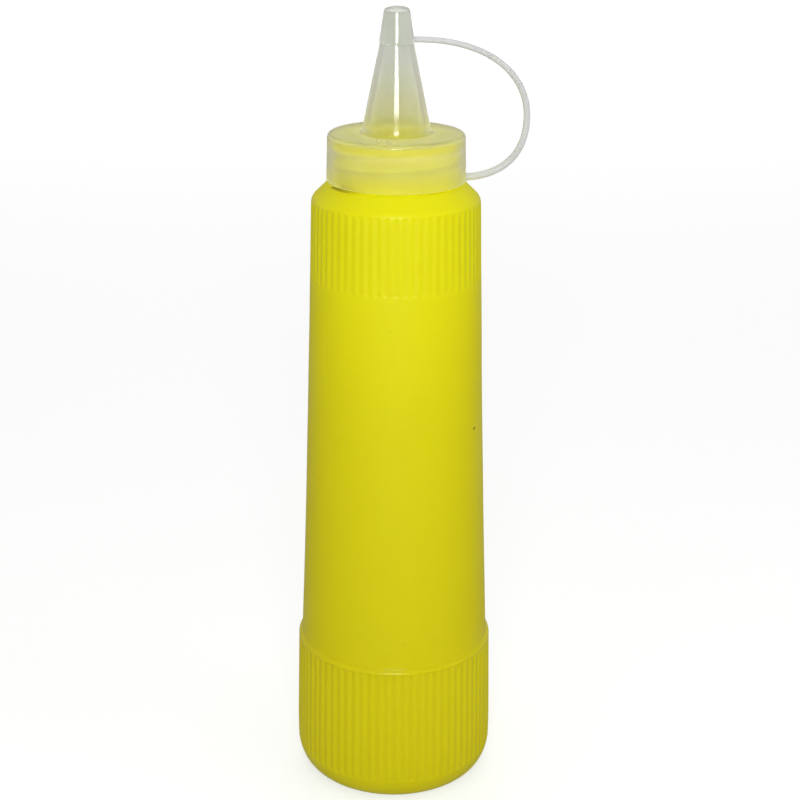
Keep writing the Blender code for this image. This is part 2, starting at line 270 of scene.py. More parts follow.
# Stage, world and lights
FLOOR_SIDE = 12.0
FLOOR_COLOUR = (0.62, 0.62, 0.62, 1.0)
FLOOR_BOUNCE_COLOUR = (0.60, 0.585, 0.57, 1.0)
FLOOR_MIRRORED_COLOUR = (0.38, 0.38, 0.38, 1.0)
FLOOR_GLOW_COLOUR = (0.950, 1.0, 1.0, 1.0)
FLOOR_THROUGH_LEVEL = 0.01
FLOOR_FAR = ((0.1, 1.2), (0.580, 0.615))        # distances from the bottle, and the glow at them
FLOOR_ASIDE = ((0.5, 1.4), (0.0, 0.15))         # the same from a place behind it, added
FLOOR_ASIDE_PLACE = (0.0, 0.9, 0.0)
FLOOR_ASIDE_SHAPE = (1.0, 0.45, 1.0)
WORLD_COLOURS = {
    "light": (0.415, 0.371, 0.366, 1.0),
    "gloss": (0.38, 0.38, 0.38, 1.0),
    "light through plastic": (0.90, 0.89, 0.88, 1.0),
    "seen through plastic": (1.13, 1.13, 1.12, 1.0),
    "seen": (1.0, 1.0, 1.0, 1.0),
}
# Area lights: place, aim, width and height, watts
LIGHTS = {
    "front softbox": ((0.0, -0.56, 0.352), (0.0, 0.0, 0.20), (0.18, 0.12), 1.44),
    "back softbox": ((0.0, 2.6, 1.0), (0.0, 0.0, 0.12), (1.7, 0.95), 17.5),
    "top softbox": ((0.0, 0.0, 1.3), (0.0, 0.0, 0.2), (0.7, 0.7), 1.55),
    "right fill": ((0.50, -0.15, 0.36), (0.0, 0.0, 0.16), (0.25, 0.35), 0.23),
}
FRONT_LIGHT_COLOUR = (0.96, 1.0, 1.0)

# View
CAMERA_PLACE = Vector((0.0, -479.41, 300.36)) * MM
CAMERA_PITCH = math.radians(20.063)
CAMERA_YAW = 0.003175
CAMERA_ROLL = 0.0059
FOCAL_LENGTH_PX = 1640.08
IMAGE_SIDE_PX = 800
SENSOR_WIDTH_MM = 36.0


def arc(centre_radius, centre_height, size, start, end, steps):
    """Outline points; turn 0 points outwards, a quarter turn up."""
    points = []
    for step in range(steps + 1):
        turn = start + (end - start) * step / steps
        points.append((centre_radius + size * math.cos(turn), centre_height + size * math.sin(turn)))
    return points


def smooth_step(share):
    share = min(1.0, max(0.0, share))
    return share * share * (3 - 2 * share)


def deselect_all():
    bpy.ops.object.select_all(action="DESELECT")


def select_only(*pieces):
    """Selects the pieces and nothing else, and makes the first one active."""
    deselect_all()
    for piece in pieces:
        piece.select_set(True)
    bpy.context.view_layer.objects.active = pieces[0]


def apply_modifier(piece, modifier):
    select_only(piece)
    bpy.ops.object.modifier_apply(modifier=modifier.name)


def clean_mesh(threshold):
    """Merges the active piece's doubles and points its faces outwards."""
    bpy.ops.object.mode_set(mode="EDIT")
    bpy.ops.mesh.select_all(action="SELECT")
    bpy.ops.mesh.remove_doubles(threshold=threshold)
    bpy.ops.mesh.normals_make_consistent(inside=False)
    bpy.ops.object.mode_set(mode="OBJECT")


def shade_soft(piece):
    select_only(piece)
    bpy.ops.object.shade_smooth_by_angle(angle=SOFT_EDGE_TURN)


def start_from_point(name, place):
    """A new mesh of one point, in edit mode and selected."""
    deselect_all()
    bpy.ops.mesh.primitive_plane_add(size=MM, location=place)
    piece = bpy.context.object
    piece.name = name
    piece.data.name = name
    bpy.ops.object.transform_apply(location=True, rotation=True, scale=True)
    bpy.ops.object.mode_set(mode="EDIT")
    bpy.ops.mesh.select_mode(type="VERT")
    bpy.ops.mesh.select_all(action="SELECT")
    bpy.ops.mesh.merge(type="CENTER")
    return piece


def draw_outline(outline):
    """Extrudes the selected point along an outline of (radius, height) points."""
    for (radius, height), (next_radius, next_height) in zip(outline, outline[1:]):
        step = (next_radius - radius, 0.0, next_height - height)
        bpy.ops.mesh.extrude_vertices_move(TRANSFORM_OT_translate={"value": step})


def hold_edges(outline):
    """Adds a row close to each end of the long straights, so that their shading stays straight."""
    rows = [outline[0]]
    for (radius, height), (next_radius, next_height) in zip(outline, outline[1:]):
        across, up = next_radius - radius, next_height - height
        length = math.hypot(across, up)
        if length > 4 * HOLD_REACH:
            for share in (HOLD_REACH / length, 0.5, 1 - HOLD_REACH / length):
                rows.append((radius + across * share, height + up * share))
        rows.append((next_radius, next_height))
    return rows


def turn_piece(name, outline, steps, closed=False):
    """Turns an outline round the axis; it ends on the axis or, if closed, at its start."""
    radius, height = outline[0]
    piece = start_from_point(name, (radius, 0.0, height))
    draw_outline(outline + outline[:1] if closed else outline)
    bpy.ops.object.mode_set(mode="OBJECT")
    turning = piece.modifiers.new("turning", "SCREW")
    turning.axis = "Z"
    turning.angle = math.tau
    turning.steps = steps
    turning.render_steps = steps
    turning.use_merge_vertices = True
    turning.merge_threshold = MERGE_DISTANCE
    turning.use_smooth_shade = True
    apply_modifier(piece, turning)
    clean_mesh(MERGE_DISTANCE)
    return piece


def fuse(piece, addition):
    """Unites the addition with the piece, and removes it as an object."""
    union = piece.modifiers.new("union", "BOOLEAN")
    union.operation = "UNION"
    union.object = addition
    union.material_mode = "TRANSFER"
    apply_modifier(piece, union)
    bpy.data.objects.remove(addition)


def push_surface(piece, name, distance, weight_at, texture=None):
    """Moves the surface outwards by distance times the weight at each point."""
    group = piece.vertex_groups.new(name=name)
    for vertex in piece.data.vertices:
        weight = weight_at(vertex.co)
        if weight > 0.0:
            group.add([vertex.index], weight, "REPLACE")
    push = piece.modifiers.new(name, "DISPLACE")
    push.strength = distance
    push.mid_level = 0.0
    push.vertex_group = group.name
    if texture is not None:
        push.texture = texture
        push.texture_coords = "LOCAL"
        push.mid_level = 0.5
    apply_modifier(piece, push)
    piece.vertex_groups.clear()


def finish_piece(piece, node):
    shade_soft(piece)
    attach(piece, "root")
    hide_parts(node)


def wall_radius(height):
    share = (height - LEDGE_HEIGHT) / (RIM_HEIGHT - LEDGE_HEIGHT)
    straight = WALL_FOOT_RADIUS + (WALL_TOP_RADIUS - WALL_FOOT_RADIUS) * share
    return straight - 4 * WALL_HOLLOW * share * (1 - share)


def band_radius(height):
    side = BASE_RADIUS + (BAND_TOP_RADIUS - BASE_RADIUS) * height / BAND_SIDE_TOP
    below = max(0.0, 1 - height / FOOT_ROUND_HEIGHT)
    return side - FOOT_ROUND_WIDTH * (1 - math.sqrt(1 - below * below))


def rim_radius(height):
    """The wall, and above it the rounding of the shoulder's rim."""
    if height <= RIM_HEIGHT:
        return wall_radius(height)
    return WALL_TOP_RADIUS - RIM_ROUND + math.sqrt(RIM_ROUND ** 2 - (height - RIM_HEIGHT) ** 2)


def flute_heights(flutes, straight_steps):
    """Heights of the rows that a band of flutes needs, close together at its run-outs."""
    foot, top = flutes[1:3]
    straight_foot, straight_top = foot + SCOOP_FOOT, top - SCOOP_TOP
    straight = straight_top - straight_foot
    rows = [foot + SCOOP_FOOT * step / SCOOP_FOOT_ROWS for step in range(SCOOP_FOOT_ROWS + 1)]
    rows += [straight_foot + straight * step / straight_steps for step in range(1, straight_steps)]
    rows += [straight_top + SCOOP_TOP * step / SCOOP_TOP_ROWS for step in range(SCOOP_TOP_ROWS + 1)]
    return rows


def foot_outline():
    """The base with its shallow recess, and the rounding up to the flutes."""
    rim, recess_steps, round_steps = BASE_RECESS_RADIUS, 6, 12
    outline = [(rim * share, BASE_RECESS_DEPTH) for share in (0.0, 0.4, 0.8)]
    for step in range(1, recess_steps + 1):
        share = step / recess_steps
        outline.append((rim * (0.9 + 0.1 * share), BASE_RECESS_DEPTH * (1 - smooth_step(share))))
    top_turn = math.asin(1 - LOWER_FLUTES[1] / FOOT_ROUND_HEIGHT)
    for step in range(round_steps):
        turn = math.pi / 2 + (top_turn - math.pi / 2) * step / round_steps
        height = FOOT_ROUND_HEIGHT * (1 - math.sin(turn))
        outline.append((band_radius(height), height))
    return outline


def ledge_outline():
    """The ledge's rounding, and the fillet that carries it into the wall."""
    turn = math.acos(1 - (BAND_TOP_RADIUS - WALL_FOOT_RADIUS) / (LEDGE_ROUND + LEDGE_FILLET))
    fillet_top = LEDGE_HEIGHT + LEDGE_LIFT
    side_top = fillet_top - (LEDGE_ROUND + LEDGE_FILLET) * math.sin(turn)
    outline = arc(BAND_TOP_RADIUS - LEDGE_ROUND, side_top, LEDGE_ROUND, 0.0, turn, 9)
    fillet = arc(WALL_FOOT_RADIUS + LEDGE_FILLET, fillet_top, LEDGE_FILLET, math.pi + turn, math.pi, 7)
    return outline + fillet[1:]


def wall_outline():
    start = LEDGE_HEIGHT + (LEDGE_LIFT + WALL_START)
    rise = UPPER_FLUTES[1] - LEDGE_HEIGHT
    heights = [start] + [LEDGE_HEIGHT + rise * step / WALL_ROWS for step in range(1, WALL_ROWS)]
    return [(wall_radius(height), height) for height in heights]


def shoulder_outline():
    """From the top of the flutes over the rim to the middle of the neck's top."""
    start = math.asin((UPPER_FLUTES[2] - RIM_HEIGHT) / RIM_ROUND)
    outline = arc(WALL_TOP_RADIUS - RIM_ROUND, RIM_HEIGHT, RIM_ROUND, start, RIM_TURN, 9)[1:]
    rim_edge, rim_height = outline[-1]
    for share in (0.2, 0.4, 0.6, 0.8, 1.0):
        radius = rim_edge + (SHOULDER_TOP_RADIUS - rim_edge) * share
        outline.append((radius, rim_height + (SHOULDER_TOP - rim_height) * share))
    outline.append((NECK_RADIUS, SHOULDER_TOP))
    outline += arc(NECK_RADIUS - NECK_ROUND, NECK_TOP - NECK_ROUND, NECK_ROUND, 0.0, math.pi / 2, 5)
    outline.append((0.0, NECK_TOP))
    return outline


def flute_share(flute):
    """Depth of one flute as a share of the full depth: the mould fills each a little differently."""
    uneven = math.sin(7.3 * flute) * math.cos(2.9 * flute + 1.0)
    return 1 - FLUTE_UNEVENNESS + FLUTE_UNEVENNESS * uneven


def flute_weight(place):
    """How deep the flutes are at a point, in mm: most along the middle of a flute."""
    for number, foot, top, full_depth in (LOWER_FLUTES, UPPER_FLUTES):
        if foot < place.z < top:
            across = math.atan2(place.x, -place.y) / math.tau * number
            flute = round(across)
            off_middle = abs(across - flute) * 2
            depth = full_depth / MM * flute_share(flute)
            run_out = smooth_step((place.z - foot) / SCOOP_FOOT) * smooth_step((top - place.z) / SCOOP_TOP)
            return depth * run_out * (0.5 + 0.5 * math.cos(math.pi * min(1.0, off_middle / FLUTE_WIDTH)))
    return 0.0


def seam_weight(place):
    """1 along the two lines where the halves of the mould met, at the bottle's sides."""
    outside_neck = math.hypot(place.x, place.y) > NECK_RADIUS + MM
    on_side = abs(place.y) < SEAM_HALF_WIDTH and outside_neck
    return 1.0 if on_side and SEAM_FOOT < place.z < SHOULDER_TOP else 0.0


def wave_weight(place):
    """1 over the free wall between the ledge and the upper flutes."""
    above = smooth_step((place.z - LEDGE_HEIGHT - WAVE_START) / WAVE_FADE)
    return above * smooth_step((UPPER_FLUTES[1] - place.z) / WAVE_FADE)


def make_thread():
    """A bar on a helix round the neck whose ends taper into its root."""
    root_radius, crest_radius = NECK_RADIUS - THREAD_SINK, NECK_RADIUS + THREAD_HEIGHT
    piece = start_from_point("neck_thread", (0.0, 0.0, 0.0))
    bpy.ops.object.mode_set(mode="OBJECT")
    bm = bmesh.new()
    rings = []
    total = THREAD_TURNS * THREAD_STEPS
    for step in range(total + 1):
        share = step / total
        growth = min(1.0, share / THREAD_TAPER, (1 - share) / THREAD_TAPER)
        crest = root_radius + (crest_radius - root_radius) * (THREAD_END + (1 - THREAD_END) * growth)
        turn = math.tau * THREAD_TURNS * share
        height = THREAD_START + THREAD_PITCH * THREAD_TURNS * share
        corners = [
            (root_radius, -THREAD_ROOT_WIDTH / 2),
            (crest, -THREAD_CREST_WIDTH / 2),
            (crest, THREAD_CREST_WIDTH / 2),
            (root_radius, THREAD_ROOT_WIDTH / 2),
        ]
        rings.append([
            bm.verts.new((radius * math.sin(turn), -radius * math.cos(turn), height + rise))
            for radius, rise in corners
        ])
    for ring, following in zip(rings, rings[1:]):
        for index in range(4):
            bm.faces.new((ring[index - 1], ring[index], following[index], following[index - 1]))
    bm.faces.new(rings[0])
    bm.faces.new(rings[-1])
    bmesh.ops.recalc_face_normals(bm, faces=bm.faces)
    bm.to_mesh(piece.data)
    bm.free()
    return piece


def make_bottle(material):
    outline = foot_outline()
    outline += [(band_radius(z), z) for z in flute_heights(LOWER_FLUTES, straight_steps=5)]
    outline += ledge_outline() + wall_outline()
    outline += [(rim_radius(z), z) for z in flute_heights(UPPER_FLUTES, straight_steps=4)]
    outline += shoulder_outline()
    bottle = turn_piece("bottle_body", outline, BOTTLE_STEPS)
    push_surface(bottle, "flutes", -MM, flute_weight)
    waves = bpy.data.textures.new("wall waves", "CLOUDS")
    waves.noise_scale = WAVE_LENGTH
    waves.noise_depth = 1
    push_surface(bottle, "wall_waves", WAVE_HEIGHT, wave_weight, waves)
    push_surface(bottle, "mould_seam", SEAM_HEIGHT, seam_weight)
    fuse(bottle, make_thread())
    bottle.data.materials.clear()
    bottle.data.materials.append(material)
    finish_piece(bottle, "bottle")


def cap_outline():
    """Up the outside, down inside the nozzle and out to the skirt's foot."""
    edge_radius = CAP_RADIUS - CAP_TAPER - CAP_EDGE_ROUND
    inside = CAP_RADIUS - CAP_WALL
    plate_foot = CAP_TOP - PLATE_THICKNESS
    lean = math.atan2(CONE_BASE_RADIUS - CONE_TOP_RADIUS, CONE_TOP - CAP_TOP)
    up = math.pi / 2
    outline = arc(CAP_RADIUS - CAP_FOOT_ROUND, CAP_FOOT + CAP_FOOT_ROUND, CAP_FOOT_ROUND, -up, 0.0, 4)
    outline += arc(edge_radius, CAP_TOP - CAP_EDGE_ROUND, CAP_EDGE_ROUND, 0.0, up, 8)
    fillet, cone_edge = CONE_FILLET, CONE_EDGE_ROUND
    outline += arc(CONE_BASE_RADIUS + fillet, CAP_TOP + fillet, fillet, -up, lean - math.pi, 8)
    outline += arc(CONE_TOP_RADIUS - cone_edge, CONE_TOP - cone_edge, cone_edge, lean, up, 5)
    outline += [
        (TIP_BASE_RADIUS, CONE_TOP),
        (TIP_TOP_RADIUS, TIP_TOP),
        (TIP_BORE_RADIUS, TIP_TOP),
        (TIP_BORE_RADIUS, TIP_TOP - TIP_BORE_LENGTH),
        (CONE_TOP_RADIUS - CONE_WALL, CONE_TOP - CONE_WALL),
        (CONE_BASE_RADIUS - CONE_WALL, plate_foot),
        (inside, plate_foot),
        (inside, CAP_FOOT),
    ]
    return outline


def make_plate_drops(material):
    """Small drops of plastic left on the plate, in front of the cone."""
    drops = []
    for x, y, size in PLATE_DROPS:
        place = (x * MM, y * MM, CAP_TOP + DROP_RISE * size * MM)
        deselect_all()
        bpy.ops.mesh.primitive_uv_sphere_add(segments=16, ring_count=10, radius=size * MM, location=place)
        drops.append(bpy.context.object)
        drops[-1].scale = DROP_SHAPE
        bpy.ops.object.transform_apply(location=True, rotation=False, scale=True)
    select_only(*drops)
    bpy.ops.object.join()
    drops[0].data.materials.append(material)
    return drops[0]


def make_nozzle_cap(skirt_material, cone_material, drop_material):
    cap = turn_piece("nozzle_cap_shell", hold_edges(cap_outline()), CAP_STEPS, closed=True)
    cap.data.materials.append(skirt_material)
    cap.data.materials.append(cone_material)
    for face in cap.data.polygons:
        face.material_index = 1 if face.center.z > CAP_TOP + 0.5 * CONE_FILLET else 0
    fuse(cap, make_plate_drops(drop_material))
    finish_piece(cap, "nozzle_cap")


def cover_outline():
    """From the middle of the ceiling down inside, round the foot and up over the crown."""
    foot = CONE_TOP + COVER_SEAT
    ceiling = TIP_TOP + COVER_GAP
    shoulder = COVER_TOP - COVER_DOME - COVER_ROUND
    lean = math.atan2(COVER_FOOT_RADIUS - COVER_TOP_RADIUS, shoulder - foot)
    up = math.pi / 2
    outline = [(0.0, ceiling), (TIP_TOP_RADIUS + COVER_GAP, ceiling), (TIP_BASE_RADIUS + COVER_GAP, foot)]
    foot_round = COVER_FOOT_ROUND
    outline += arc(COVER_FOOT_RADIUS - foot_round, foot + foot_round, foot_round, -up, lean, 5)
    outline += arc(COVER_TOP_RADIUS - COVER_ROUND * math.cos(lean), shoulder, COVER_ROUND, lean, up, 9)
    crown = outline[-1][0]
    for share in (0.6, 0.3, 0.0):
        outline.append((crown * share, COVER_TOP - COVER_DOME * share * share))
    return outline


def make_strap():
    """The strap, as an oval section carried along two Bezier spans."""
    deselect_all()
    bpy.ops.curve.primitive_bezier_circle_add(radius=0.5)
    section = bpy.context.object
    section.scale = (STRAP_DEPTH, STRAP_THICKNESS, 1.0)
    bpy.ops.object.transform_apply(location=False, rotation=False, scale=True)
    section.data.resolution_u = STRAP_SECTION_STEPS
    deselect_all()
    bpy.ops.curve.primitive_bezier_curve_add(radius=1.0)
    strap = bpy.context.object
    strap.name = "strap"
    spline = strap.data.splines[0]
    spline.bezier_points.add(1)
    knots = [
        (STRAP_START, -STRAP_START_PULL, STRAP_START_PULL, 1.0),
        (STRAP_REACH, STRAP_REACH_PULL_UP, STRAP_REACH_PULL_DOWN, STRAP_REACH_GROWTH),
        (STRAP_END, STRAP_END_PULL, -STRAP_END_PULL, STRAP_END_GROWTH),
    ]
    for point, (place, before, after, growth) in zip(spline.bezier_points, knots):
        point.handle_left_type = "FREE"
        point.handle_right_type = "FREE"
        point.co, point.handle_left, point.handle_right = place, place + before, place + after
        point.radius = growth
    spline.resolution_u = STRAP_STEPS
    strap.data.dimensions = "3D"
    strap.data.twist_mode = "MINIMUM"
    strap.data.bevel_mode = "OBJECT"
    strap.data.bevel_object = section
    strap.data.use_fill_caps = True
    select_only(strap)
    bpy.ops.object.convert(target="MESH")
    bpy.data.objects.remove(section)
    clean_mesh(STRAP_MERGE_DISTANCE)
    return strap


def make_tip_cover(material, strap_material):
    cover = turn_piece("tip_cover_shell", hold_edges(cover_outline()), COVER_STEPS)
    strap = make_strap()
    cover.data.materials.append(material)
    strap.data.materials.append(strap_material)
    fuse(cover, strap)
    finish_piece(cover, "tip_cover")


def feed(tree, socket, value):
    """Links a socket to another node's output, or sets it to a number, a vector or a colour."""
    if isinstance(value, bpy.types.NodeSocket):
        tree.links.new(value, socket)
    else:
        socket.default_value = value


def add_range(tree, value, span, to=(0.0, 1.0), smooth=True):
    """Carries a value from one span of numbers to another, and holds it there at both ends."""
    node = tree.nodes.new("ShaderNodeMapRange")
    node.interpolation_type = "SMOOTHSTEP" if smooth else "LINEAR"
    for socket_name, number in zip(("From Min", "From Max", "To Min", "To Max"), (*span, *to)):
        node.inputs[socket_name].default_value = number
    feed(tree, node.inputs["Value"], value)
    return node.outputs["Result"]


def add_math(tree, operation, *values):
    node = tree.nodes.new("ShaderNodeMath")
    node.operation = operation
    for socket, value in zip(node.inputs, values):
        feed(tree, socket, value)
    return node.outputs["Value"]


def add_vector_math(tree, operation, *values):
    node = tree.nodes.new("ShaderNodeVectorMath")
    node.operation = operation
    for socket, value in zip(node.inputs, values):
        feed(tree, socket, value)
    return node.outputs["Value" if operation == "LENGTH" else "Vector"]


def add_colour_mix(tree, share, first, second):
    """The first colour, and the second where the share is 1."""
    node = tree.nodes.new("ShaderNodeMix")
    node.data_type = "RGBA"
    feed(tree, node.inputs["Factor"], share)
    first_colour, second_colour = (socket for socket in node.inputs if socket.type == "RGBA")
    feed(tree, first_colour, first)
    feed(tree, second_colour, second)
    return next(socket for socket in node.outputs if socket.type == "RGBA")


def add_noise(tree, vector, scale, detail, roughness=0.5):
    node = tree.nodes.new("ShaderNodeTexNoise")
    node.inputs["Detail"].default_value = detail
    node.inputs["Roughness"].default_value = roughness
    feed(tree, node.inputs["Vector"], vector)
    feed(tree, node.inputs["Scale"], scale)
    return node.outputs["Fac"]


def add_turn(tree, vector, angles):
    node = tree.nodes.new("ShaderNodeVectorRotate")
    node.rotation_type = "EULER_XYZ"
    feed(tree, node.inputs["Vector"], vector)
    feed(tree, node.inputs["Rotation"], angles)
    return node.outputs["Vector"]


def add_shader(tree, kind, **values):
    node = tree.nodes.new(kind)
    for socket_name, value in values.items():
        feed(tree, node.inputs[socket_name], value)
    return node.outputs[0]


def add_shader_mix(tree, share, first, second):
    """The first shader, and the second where the share is 1."""
    node = tree.nodes.new("ShaderNodeMixShader")
    for socket, value in zip(node.inputs, (share, first, second)):
        feed(tree, socket, value)
    return node.outputs["Shader"]


def object_place(tree):
    return tree.nodes.new("ShaderNodeTexCoord").outputs["Object"]


def split_place(tree):
    split = tree.nodes.new("ShaderNodeSeparateXYZ")
    feed(tree, split.inputs["Vector"], object_place(tree))
    return split.outputs


def band_mask(tree, height, band, fade):
    """1 between two heights, falling to 0 over the fade on either side."""
    low, high = band
    above = add_range(tree, height, (low - fade, low))
    return add_math(tree, "MULTIPLY", above, add_range(tree, height, (high + fade, high)))


def new_group(name, inputs, outputs):
    """A node group with sockets given as name: value (a number or a vector), and number outputs."""
    group = bpy.data.node_groups.new(name, "ShaderNodeTree")
    for socket_name, value in inputs.items():
        kind = "NodeSocketFloat" if isinstance(value, float) else "NodeSocketVector"
        socket = group.interface.new_socket(socket_name, in_out="INPUT", socket_type=kind)
        socket.default_value = value
    for socket_name in outputs:
        group.interface.new_socket(socket_name, in_out="OUTPUT", socket_type="NodeSocketFloat")
    given, result = group.nodes.new("NodeGroupInput"), group.nodes.new("NodeGroupOutput")
    return group, given.outputs, result.inputs


def place_group(tree, group, **values):
    node = tree.nodes.new("ShaderNodeGroup")
    node.node_tree = group
    for socket_name, value in values.items():
        node.inputs[socket_name.replace("_", " ")].default_value = value
    return node


def moulded_skin():
    """The skin of moulded plastic: fine grain, soft unevenness and lines drawn along the height."""
    group, given, result = new_group(
        "moulded skin",
        {"Grain Scale": 1800.0, "Cloud Scale": 45.0, "Line Scale": 220.0},
        ("Grain", "Clouds", "Lines"),
    )
    place = object_place(group)
    feed(group, result["Grain"], add_noise(group, place, given["Grain Scale"], 2.0))
    clouds = add_noise(group, place, given["Cloud Scale"], 3.0, 0.55)
    feed(group, result["Clouds"], add_range(group, clouds, (0.3, 0.7)))
    drawn = add_vector_math(group, "MULTIPLY", place, (1.0, 1.0, 0.035))
    lines = add_noise(group, drawn, given["Line Scale"], 2.0)
    feed(group, result["Lines"], add_range(group, lines, (0.3, 0.7)))
    return group


def small_mark():
    """One oval mark at a place on a surface; Turn tilts it about the front-to-back axis."""
    group, given, result = new_group(
        "small mark",
        {"Place": (0.0, 0.0, 0.0), "Turn": (0.0, 0.0, 0.0), "Size": (0.001, 0.001, 0.001)},
        ("Mark",),
    )
    away = add_vector_math(group, "SUBTRACT", object_place(group), given["Place"])
    turned = add_turn(group, away, given["Turn"])
    far = add_vector_math(group, "LENGTH", add_vector_math(group, "DIVIDE", turned, given["Size"]))
    feed(group, result["Mark"], add_range(group, far, (1.15, 0.6)))
    return group


def scuffs():
    """Sparse hairline scratches that handling leaves, in two directions."""
    group, given, result = new_group("scuffs", {"Scale": 90.0}, ("Scuff",))
    place = object_place(group)
    hairs = []
    for angles, stretch in (((0.3, 0.2, 0.5), (1.0, 1.0, 0.05)), ((1.1, 0.6, 0.2), (0.06, 1.0, 1.0))):
        drawn = add_vector_math(group, "MULTIPLY", add_turn(group, place, angles), stretch)
        hairs.append(add_range(group, add_noise(group, drawn, given["Scale"], 4.0, 0.7), (0.68, 0.74)))
    patches = add_range(group, add_noise(group, place, 35.0, 1.0), (0.5, 0.65))
    found = add_math(group, "MAXIMUM", *hairs)
    feed(group, result["Scuff"], add_math(group, "MULTIPLY", found, patches))
    return group


def add_bump(tree, shader, depth, height):
    bump = tree.nodes.new("ShaderNodeBump")
    bump.inputs["Distance"].default_value = depth
    feed(tree, bump.inputs["Height"], height)
    feed(tree, shader.inputs["Normal"], bump.outputs["Normal"])


def yellow_colour(tree, grain, rubbed, place, mark):
    """Painted shade deeper toward the foot, painted light paler at the shoulder, painted shade on the
    ledge's top and a painted shadow line under the cap's foot, with the wall's unevenness and its marks.
    """
    height = place["Z"]
    # Painted shade deepens the yellow toward the foot; painted light pales it at the shoulder
    shade_low_down = add_range(tree, height, FOOT_SHADE_CHANGE, smooth=False)
    colour = add_colour_mix(tree, shade_low_down, WALL_YELLOW, FOOT_SHADE_YELLOW)
    below_neck = add_range(tree, height, SHOULDER_LIGHT_END)
    light_high_up = add_math(tree, "MULTIPLY", add_range(tree, height, SHOULDER_LIGHT_CHANGE), below_neck)
    colour = add_colour_mix(tree, light_high_up, colour, SHOULDER_LIGHT_YELLOW)
    # Painted shade darkens the ledge's top, which the lamps above light
    colour = add_colour_mix(tree, band_mask(tree, height, LEDGE_SHADE_BAND, LEDGE_SHADE_FADE), colour, LEDGE_SHADE_YELLOW)
    # Painted shadow: a brown line on the shoulder under the cap's foot, at the front left, where the cap
    # shades the gap
    left = add_range(tree, place["X"], UNDER_CAP_SHADE_LEFT)
    front_left = add_math(tree, "MULTIPLY", left, add_range(tree, place["Y"], UNDER_CAP_SHADE_FRONT))
    under_cap = band_mask(tree, height, UNDER_CAP_SHADE_BAND, UNDER_CAP_SHADE_FADE)
    under_cap_shade = add_math(tree, "MULTIPLY", under_cap, front_left)
    colour = add_colour_mix(tree, under_cap_shade, colour, UNDER_CAP_SHADE_BROWN)
    for source, strength, tint in (
        (grain.outputs["Clouds"], 0.05, CLOUD_YELLOW),
        (grain.outputs["Lines"], 0.035, DRAWN_YELLOW),
        (rubbed.outputs["Scuff"], 0.10, SCUFF_YELLOW),
    ):
        share = add_range(tree, source, (0.0, 1.0), (0.0, strength), smooth=False)
        colour = add_colour_mix(tree, share, colour, tint)
    for name, (spot, turn, size, tint) in YELLOW_MARKS.items():
        spot, size = tuple(c * MM for c in spot), tuple(c * MM for c in size)
        found = place_group(tree, mark, Place=spot, Turn=turn, Size=size)
        found.name = name
        colour = add_colour_mix(tree, found.outputs["Mark"], colour, tint)
    return colour


def yellow_plastic(skin, mark, scuff):
    """Satin yellow polyethylene of the blown bottle."""
    material = bpy.data.materials.new("yellow polyethylene")
    material.use_nodes = True
    tree = material.node_tree
    shader = tree.nodes["Principled BSDF"]
    grain = place_group(tree, skin, Grain_Scale=1500.0, Cloud_Scale=38.0, Line_Scale=260.0)
    rubbed = place_group(tree, scuff, Scale=110.0)
    place = split_place(tree)
    feed(tree, shader.inputs["Base Color"], yellow_colour(tree, grain, rubbed, place, mark))

    rough = add_range(tree, grain.outputs["Clouds"], (0.0, 1.0), YELLOW_ROUGHNESS, smooth=False)
    rough = add_math(tree, "ADD", rough, add_math(tree, "MULTIPLY", rubbed.outputs["Scuff"], YELLOW_SCUFF))
    for band, polish in ((RIM_SHINE_BAND, RIM_POLISH), (LEDGE_SHINE_BAND, LEDGE_POLISH)):
        shine = add_math(tree, "MULTIPLY", band_mask(tree, place["Z"], band, SHINE_FADE), polish)
        rough = add_math(tree, "SUBTRACT", rough, shine)
    feed(tree, shader.inputs["Roughness"], rough)

    lines = add_math(tree, "MULTIPLY", grain.outputs["Lines"], 1.6)
    add_bump(tree, shader, 0.012 * MM, add_math(tree, "ADD", grain.outputs["Grain"], lines))
    shader.inputs["Specular IOR Level"].default_value = 0.27
    shader.inputs["Subsurface Weight"].default_value = 0.6
    shader.inputs["Subsurface Radius"].default_value = (1.0, 0.9, 0.1)
    shader.inputs["Subsurface Scale"].default_value = 3.0 * MM
    return material


def skirt_colour(tree, clouds, place):
    """Paler where the cap's own thread thickens its wall; painted yellow glow where the neck shows
    through, near the foot and in a ring under the plate; on the plate painted shade, yellower near the
    cone where the neck's top shows through as painted glow.
    """
    height = place["Z"]
    colour = add_colour_mix(tree, clouds, *SKIRT_COLOURS)
    # Painted yellow glow of the neck at the skirt's foot, a pale ring where the cap's thread thickens the
    # wall, and a painted glow ring under the plate
    colour = add_colour_mix(tree, add_range(tree, height, SKIRT_FOOT_NECK_GLOW_CHANGE), colour, SKIRT_FOOT_NECK_GLOW)
    for band, tint in ((PALE_RING_BAND, PALE_RING_COLOUR), (NECK_GLOW_RING_BAND, NECK_GLOW_RING_COLOUR)):
        colour = add_colour_mix(tree, band_mask(tree, height, band, MILKY_FADE), colour, tint)
    # On the plate: painted shade darkens its lit top, and near the cone painted glow of the neck's yellow
    # top below
    squares = [add_math(tree, "POWER", place[axis], 2.0) for axis in "XY"]
    radius = add_math(tree, "SQRT", add_math(tree, "ADD", *squares))
    outwards = add_range(tree, radius, PLATE_OUTER_CHANGE)
    plate = add_colour_mix(tree, outwards, PLATE_SHADE_COLOUR, PLATE_OUTER_SHADE_COLOUR)
    from_cone = add_range(tree, radius, PLATE_INNER_CHANGE)
    plate = add_colour_mix(tree, from_cone, PLATE_INNER_GLOW_SHADE, plate)
    return add_colour_mix(tree, add_range(tree, height, PLATE_CHANGE), colour, plate)


